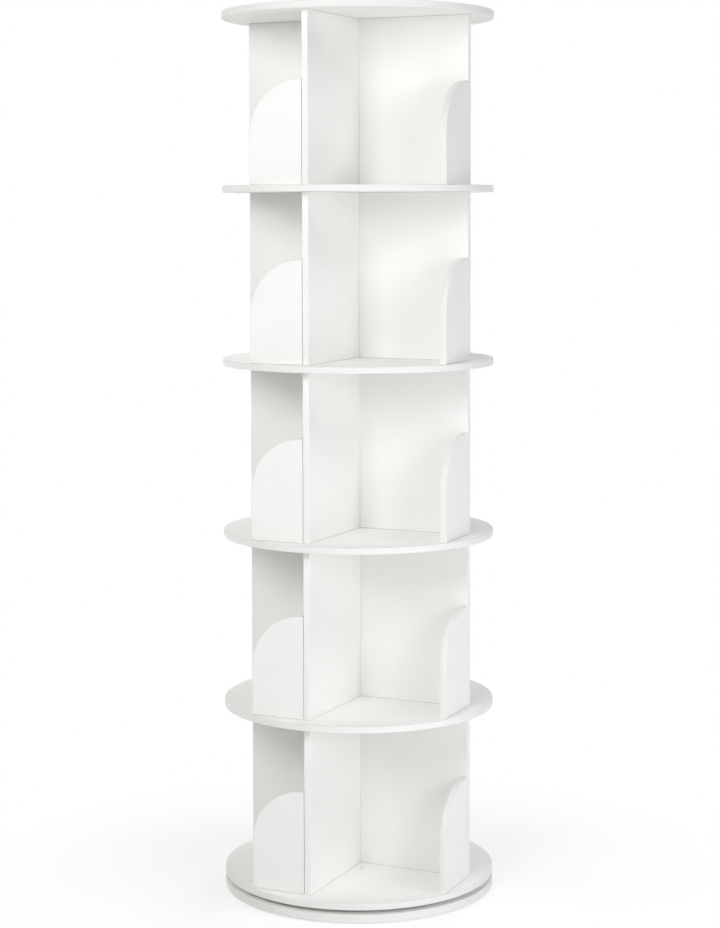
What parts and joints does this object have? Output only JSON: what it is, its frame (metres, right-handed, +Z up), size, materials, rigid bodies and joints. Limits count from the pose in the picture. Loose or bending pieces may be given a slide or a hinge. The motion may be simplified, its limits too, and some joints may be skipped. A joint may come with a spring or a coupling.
{
  "type": "rotating media tower",
  "caption": "Tall round rotating shelf tower: crossed boards and arched end stops between round shelves, turning as one on a flat ball bearing over a round base.",
  "frame": {"origin": "on the turning axis at the floor, under the middle of the base", "axes": "+Z up along the turning axis, +X and +Y along the crossed boards"},
  "size_m": [0.4999, 0.5, 1.622],
  "materials": {
    "white_board": "matt white melamine face on fibreboard",
    "bearing_steel": "zinc plated",
    "ball_steel": "polished",
    "screw_steel": "zinc plated",
    "screw_lacquer": "white lacquer",
    "cage_nylon": "moulded",
    "cap_plastic": "moulded",
    "dowel_beech": "fluted, raw",
    "pad_rubber": "foamed, matt"
  },
  "bodies": {
    "base": {"base_disc": "white_board", "foot_pads": "pad_rubber", "bearing_lower_ring": "bearing_steel", "bearing_ring_screws": "screw_steel"},
    "ball_row": {"bearing_balls": "ball_steel", "bearing_cage": "cage_nylon"},
    "tower": {"bearing_shelf_screws": "screw_lacquer", "bearing_upper_plate": "bearing_steel", "board_screws": "screw_steel", "bottom_board_screws": "screw_steel", "bottom_dowels": "dowel_beech", "middle_dowels": "dowel_beech", "screw_caps": "cap_plastic", "shelf_1": "white_board", "shelf_2": "white_board", "shelf_3": "white_board", "shelf_4": "white_board", "shelf_5": "white_board", "stop_dowels": "dowel_beech", "stop_screws": "screw_steel", "tier_1_end_stop_1": "white_board", "tier_1_end_stop_2": "white_board", "tier_1_end_stop_3": "white_board", "tier_1_end_stop_4": "white_board", "tier_1_lower_cross_board": "white_board", "tier_1_upper_cross_board": "white_board", "tier_2_end_stop_1": "white_board", "tier_2_end_stop_2": "white_board", "tier_2_end_stop_3": "white_board", "tier_2_end_stop_4": "white_board", "tier_2_lower_cross_board": "white_board", "tier_2_upper_cross_board": "white_board", "tier_3_end_stop_1": "white_board", "tier_3_end_stop_2": "white_board", "tier_3_end_stop_3": "white_board", "tier_3_end_stop_4": "white_board", "tier_3_lower_cross_board": "white_board", "tier_3_upper_cross_board": "white_board", "tier_4_end_stop_1": "white_board", "tier_4_end_stop_2": "white_board", "tier_4_end_stop_3": "white_board", "tier_4_end_stop_4": "white_board", "tier_4_lower_cross_board": "white_board", "tier_4_upper_cross_board": "white_board", "tier_5_end_stop_1": "white_board", "tier_5_end_stop_2": "white_board", "tier_5_end_stop_3": "white_board", "tier_5_end_stop_4": "white_board", "tier_5_lower_cross_board": "white_board", "tier_5_upper_cross_board": "white_board", "top_board": "white_board", "top_dowels": "dowel_beech"}
  },
  "joints": [
    {"name": "tower_turn", "type": "hinge", "parent": "base", "child": "tower", "pos_m": [0, 0, 0.021], "axis": [0, 0, 1], "continuous": true},
    {"name": "ball_row_turn", "type": "hinge", "parent": "base", "child": "ball_row", "pos_m": [0, 0, 0.021], "axis": [0, 0, 1], "continuous": true}
  ],
  "couplings": [
    {"joint": "ball_row_turn", "follows": "tower_turn", "ratio": 0.491}
  ]
}
